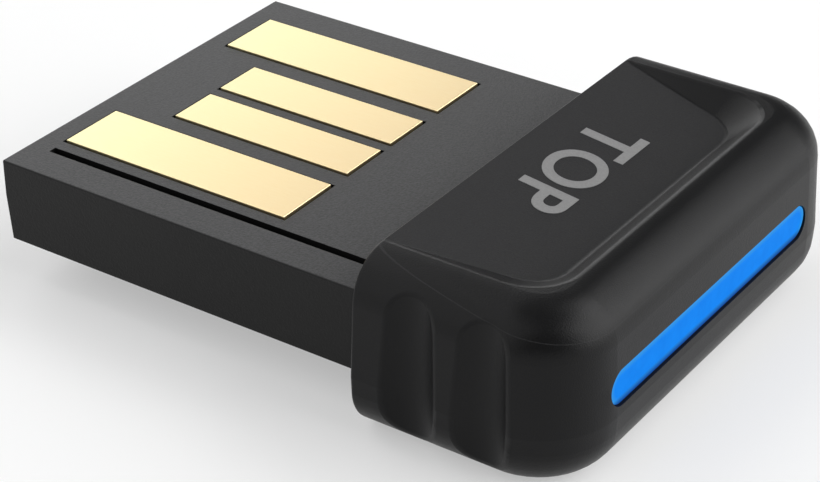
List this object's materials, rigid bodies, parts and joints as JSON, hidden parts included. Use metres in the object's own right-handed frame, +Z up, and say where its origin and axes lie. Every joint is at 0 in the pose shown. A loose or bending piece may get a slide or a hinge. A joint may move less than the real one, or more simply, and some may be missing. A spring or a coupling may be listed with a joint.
{
  "type": "usb bluetooth adapter",
  "caption": "Nano wireless adapter: flat half-height plug with gold contact strips, and a short moulded cap with a thumb scoop, grip flutes and a lit blue bar.",
  "frame": {"origin": "middle of the footprint, on the plane of the cap's underside", "axes": "+X from the plug's tip to the lit front face, +Y across the width, +Z up to the side with the contacts"},
  "size_m": [0.0182, 0.0144, 0.0049],
  "materials": {
    "cap_plastic": "satin moulded ABS, black",
    "plug_plastic": "fine matt moulded plastic, dark grey",
    "contact_gold": "gold-plated copper alloy, bright",
    "light_guide_acrylic": "tinted clear acrylic, lit blue",
    "board_laminate": "glass-fibre laminate with solder mask",
    "chip_epoxy": "moulded epoxy, black",
    "component_ceramic": "sintered ceramic with plated ends",
    "crystal_metal": "nickel-plated lid, satin",
    "lamp_resin": "clear cast resin"
  },
  "bodies": {
    "root": {"cap": "cap_plastic", "plug_body": "plug_plastic", "plug_base": "plug_plastic", "contact_1": "contact_gold", "contact_2": "contact_gold", "contact_3": "contact_gold", "contact_4": "contact_gold", "light_guide": "light_guide_acrylic", "circuit_board": "board_laminate", "bluetooth_chip": "chip_epoxy", "flash_chip": "chip_epoxy", "voltage_regulator": "chip_epoxy", "surge_protector": "chip_epoxy", "fuse": "component_ceramic", "ferrite_bead": "component_ceramic", "inductor": "component_ceramic", "chip_antenna": "component_ceramic", "capacitors": "component_ceramic", "resistors": "component_ceramic", "crystal": "crystal_metal", "status_led_left": "lamp_resin", "status_led_right": "lamp_resin"}
  },
  "joints": []
}
